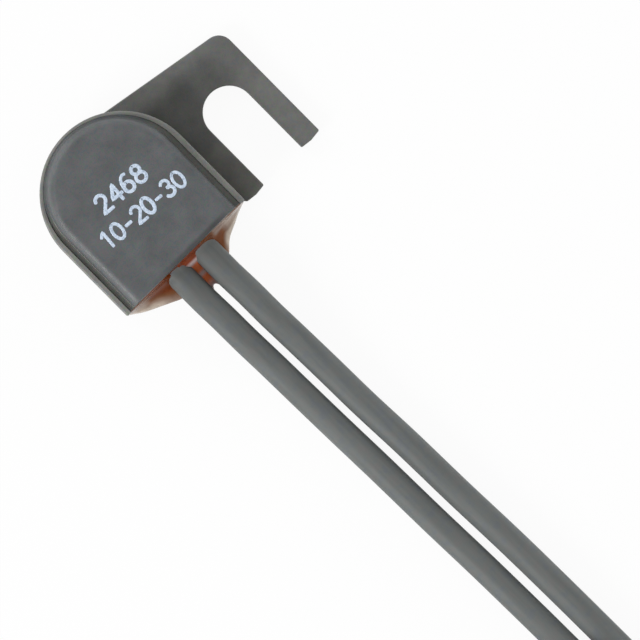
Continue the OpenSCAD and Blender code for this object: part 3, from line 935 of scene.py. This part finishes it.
GLYPHS = {
    "0": [arc(0.31, 0.5, 0.27, 0.46, 90, 450)],
    "1": [[(0.12, 0.76), (0.34, 0.96), (0.34, 0.04)]],
    "2": [arc(0.3, 0.7, 0.26, 0.26, 165, -30) + [(0.05, 0.04), (0.58, 0.04)]],
    "3": [arc(0.28, 0.73, 0.23, 0.23, 150, -80), arc(0.28, 0.29, 0.27, 0.25, 85, -150)],
    "4": [[(0.46, 0.04), (0.46, 0.94), (0.04, 0.32), (0.62, 0.32)]],
    "6": [arc(0.32, 0.3, 0.26, 0.26, 90, 450), arc(0.42, 0.34, 0.36, 0.62, 75, 185)],
    "8": [arc(0.31, 0.73, 0.22, 0.22, 90, 450), arc(0.31, 0.28, 0.27, 0.25, 90, 450)],
    "-": [[(0.14, 0.42), (0.46, 0.42)]]
}


def print_row(bm, text, centre, height, width, jitter):
    """Writes one row of glyphs on the face, a little uneven as stamped ink is."""
    pitch = width / len(text)
    turn = Matrix.Rotation(math.radians(print_turn), 3, "Z")
    for i, glyph in enumerate(text):
        left = (i - len(text) / 2) * pitch + (pitch - glyph_width * height) / 2
        low = -height / 2 + jitter.uniform(-glyph_wander, glyph_wander)
        for points in GLYPHS[glyph]:
            path = []
            for x, y in points:
                spot = turn @ Vector((left + x * height, low + y * height, 0))
                path.append(at(centre[0] + spot.x, centre[1] + spot.y, face_z))
            flat_stroke(bm, path, stroke_width * jitter.uniform(1 - stroke_wander, 1 + stroke_wander))


def flat_stroke(bm, path, stroke):
    """One ink stroke: a flat rounded bar half sunk in the face, with joints where the path bends."""
    before = len(bm.verts)
    closed = (path[0] - path[-1]).length < close * MM
    dense = []
    for a, b in zip(path, path[1:]):
        count = max(round((b - a).length / (stroke_step * MM)), 1)
        dense += [a + (b - a) * k / count for k in range(count)]
    dense.append(path[-1])
    if closed:
        dense.append(dense[1])
    sweep(bm, dense, stroke / 2 * MM, stroke_sides, stroke / 2 * MM)
    bm.verts.ensure_lookup_table()
    for vert in bm.verts[before:]:
        vert.co.z = face_z * MM + (vert.co.z - face_z * MM) * stroke_flatness


def printed_numbers():
    """Both rows of print."""
    jitter = random.Random(print_seed)
    bm = bmesh.new()
    print_row(bm, "2468", centre=(0.22, 0.38), height=1.7, width=5.2, jitter=jitter)
    print_row(bm, "10-20-30", centre=(0.3, -2.19), height=1.6, width=8.95, jitter=jitter)
    obj = mesh_object("printed_numbers", bm, ink)
    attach(obj, "housing")


printed_numbers()


# Inner pieces: a copy of the blade, cut finer across its step, and a copy of the disc
def finer_copy(node, name, material, cuts_y=()):
    """A closed copy of a node's mesh, cut across at the given places along Y."""
    bm = node_copy(node)
    for y in cuts_y:
        geometry = bm.verts[:] + bm.edges[:] + bm.faces[:]
        bmesh.ops.bisect_plane(bm, geom=geometry, dist=1e-9, plane_co=at(0, y, 0), plane_no=(0, 1, 0))
    return mesh_object(name, bm, material, smooth=False)


step_start, step_end, step_cuts = -1.15, -0.35, 10
cuts = [step_start + (step_end - step_start) * k / step_cuts for k in range(step_cuts + 1)]
blade = finer_copy("contact_blade", "spring_blade", spring_bronze, cuts)
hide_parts("contact_blade")
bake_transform(blade)

disc = finer_copy("bimetal_disc", "snap_disc", disc_metal)
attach(disc, "housing")
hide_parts("bimetal_disc")
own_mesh(disc)


def ball_ended_pin(sides=48, steps=10):
    """Ceramic pin with ball ends, on which the tilting blade rolls without cutting a rim."""
    low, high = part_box("transfer_pin")
    middle, radius = (low + high) / 2, (high.x - low.x) / 2
    turns = [math.radians(90 * k / steps) for k in range(1, steps + 1)]
    lower = [(low.z + radius * (1 - math.cos(turn)), radius * math.sin(turn)) for turn in turns]
    upper = [(low.z + high.z - z, wide) for z, wide in reversed(lower)]
    east, north = Vector((1, 0, 0)), Vector((0, 1, 0))
    bm = bmesh.new()
    loops = [
        circle(bm, Vector((middle.x, middle.y, z)), east, north, wide, sides) for z, wide in lower + upper
    ]
    bridge(bm, loops)
    for loop, z in ((loops[0], low.z), (loops[-1], high.z)):
        tip = bm.verts.new((middle.x, middle.y, z))
        for k in range(sides):
            bm.faces.new((loop[k], loop[(k + 1) % sides], tip))
    obj = mesh_object("ceramic_pin", bm, ceramic)
    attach(obj, "pin")
    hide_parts("transfer_pin")


ball_ended_pin()


# Camera: straight above, turned as the photograph is, far enough off to see nearly no perspective
view_centre = (4.37, -19.34)
view_turn = 44.7
view_width = 54.04
camera_distance = 1200
clip_near, clip_far = 10, 5000
sensor = 36


def make_camera():
    """Camera whose picture is view_width millimetres wide at the printed face."""
    data = bpy.data.cameras.new("camera")
    data.sensor_width = sensor
    data.lens = sensor * camera_distance / view_width
    data.clip_start, data.clip_end = clip_near * MM, clip_far * MM
    camera = bpy.data.objects.new("camera", data)
    camera.location = at(view_centre[0], view_centre[1], face_z + camera_distance)
    camera.rotation_euler = (0, 0, -math.radians(view_turn))
    bpy.context.scene.collection.objects.link(camera)
    bpy.context.scene.camera = camera


# Floor, world and lamps
BACKDROP_RAYS = ("Is Camera Ray", "Is Glossy Ray", "Is Transmission Ray")
floor_half = 3000
floor_z = -0.02
floor_tone, floor_glow = 0.88, 0.93
lit_point = (0, -3, 3)
lamp_distance = 500


def seen_by(tree, kinds):
    """1 for rays of the given kinds, otherwise 0."""
    path = tree.nodes.new("ShaderNodeLightPath")
    share = path.outputs[kinds[0]]
    for kind in kinds[1:]:
        node = tree.nodes.new("ShaderNodeMath")
        node.operation = "MAXIMUM"
        tree.links.new(share, node.inputs[0])
        tree.links.new(path.outputs[kind], node.inputs[1])
        share = node.outputs[0]
    return share


def mix_shader(tree, share, a, b):
    """Shader a where share is 0 and b where it is 1."""
    node = tree.nodes.new("ShaderNodeMixShader")
    tree.links.new(share, node.inputs["Fac"])
    tree.links.new(a, node.inputs[1])
    tree.links.new(b, node.inputs[2])
    return node.outputs["Shader"]


def make_floor():
    """Pale plain floor just under the part, which the camera sees as white."""
    bm = bmesh.new()
    bmesh.ops.create_grid(bm, x_segments=1, y_segments=1, size=floor_half * MM)
    for vert in bm.verts:
        vert.co.z = floor_z * MM
    material = bpy.data.materials.new("floor")
    material.use_nodes = True
    tree = material.node_tree
    tree.nodes.clear()
    output = tree.nodes.new("ShaderNodeOutputMaterial")
    card = tree.nodes.new("ShaderNodeBsdfDiffuse")
    card.inputs["Color"].default_value = grey(floor_tone)
    glow = tree.nodes.new("ShaderNodeEmission")
    glow.inputs["Color"].default_value = WHITE
    glow.inputs["Strength"].default_value = 1
    glow_share = tree.nodes.new("ShaderNodeMath")
    glow_share.operation = "MULTIPLY"
    glow_share.inputs[1].default_value = floor_glow
    tree.links.new(seen_by(tree, BACKDROP_RAYS), glow_share.inputs[0])
    surface = mix_shader(tree, glow_share.outputs[0], card.outputs["BSDF"], glow.outputs["Emission"])
    tree.links.new(surface, output.inputs["Surface"])
    floor = mesh_object("floor", bm, material, smooth=False)


def background(tree, strength):
    """White surroundings of one strength."""
    node = tree.nodes.new("ShaderNodeBackground")
    node.inputs["Color"].default_value = WHITE
    node.inputs["Strength"].default_value = strength
    return node


def make_world(level):
    """Even light at the given level. Glossy surfaces see a white surrounding under a dim ceiling."""
    world = bpy.data.worlds.new("studio")
    bpy.context.scene.world = world
    world.use_nodes = True
    tree = world.node_tree
    tree.nodes.clear()
    output = tree.nodes.new("ShaderNodeOutputWorld")
    way = tree.nodes.new("ShaderNodeTexCoord")
    upward = along_axis(tree, way.outputs["Generated"], "Z")
    room = background(tree, 1)
    tree.links.new(ramp(tree, upward, [(0.3, WHITE), (0.75, grey(0.2))]), room.inputs["Color"])
    backdrop = background(tree, 1)
    light = background(tree, level).outputs["Background"]
    for kinds, seen in ((("Is Camera Ray", "Is Transmission Ray"), backdrop), (("Is Glossy Ray",), room)):
        light = mix_shader(tree, seen_by(tree, kinds), light, seen.outputs["Background"])
    tree.links.new(light, output.inputs["Surface"])


def make_lamp(name, azimuth, elevation, size, power, glossy=True):
    """Square lamp that faces the case, its power in watts. Azimuth 0 is the +X side and 90 the +Y side."""
    data = bpy.data.lights.new(name, "AREA")
    data.shape = "SQUARE"
    data.size = size * MM
    data.energy = power
    around, up = math.radians(azimuth), math.radians(elevation)
    way = Vector((math.cos(around) * math.cos(up), math.sin(around) * math.cos(up), math.sin(up)))
    lamp = bpy.data.objects.new(name, data)
    lamp.visible_camera = False
    lamp.visible_glossy = glossy
    lamp.location = at(*lit_point) + way * lamp_distance * MM
    lamp.rotation_euler = way.to_track_quat("Z", "Y").to_euler()
    bpy.context.scene.collection.objects.link(lamp)


make_camera()
make_floor()
make_world(level=0.52)
make_lamp("key", azimuth=178, elevation=33, size=200, power=1.55)
make_lamp("back", azimuth=100, elevation=27, size=200, power=0.6)
make_lamp("fill", azimuth=-6, elevation=10, size=300, power=1.1, glossy=False)

bpy.context.scene.view_settings.view_transform = "Standard"
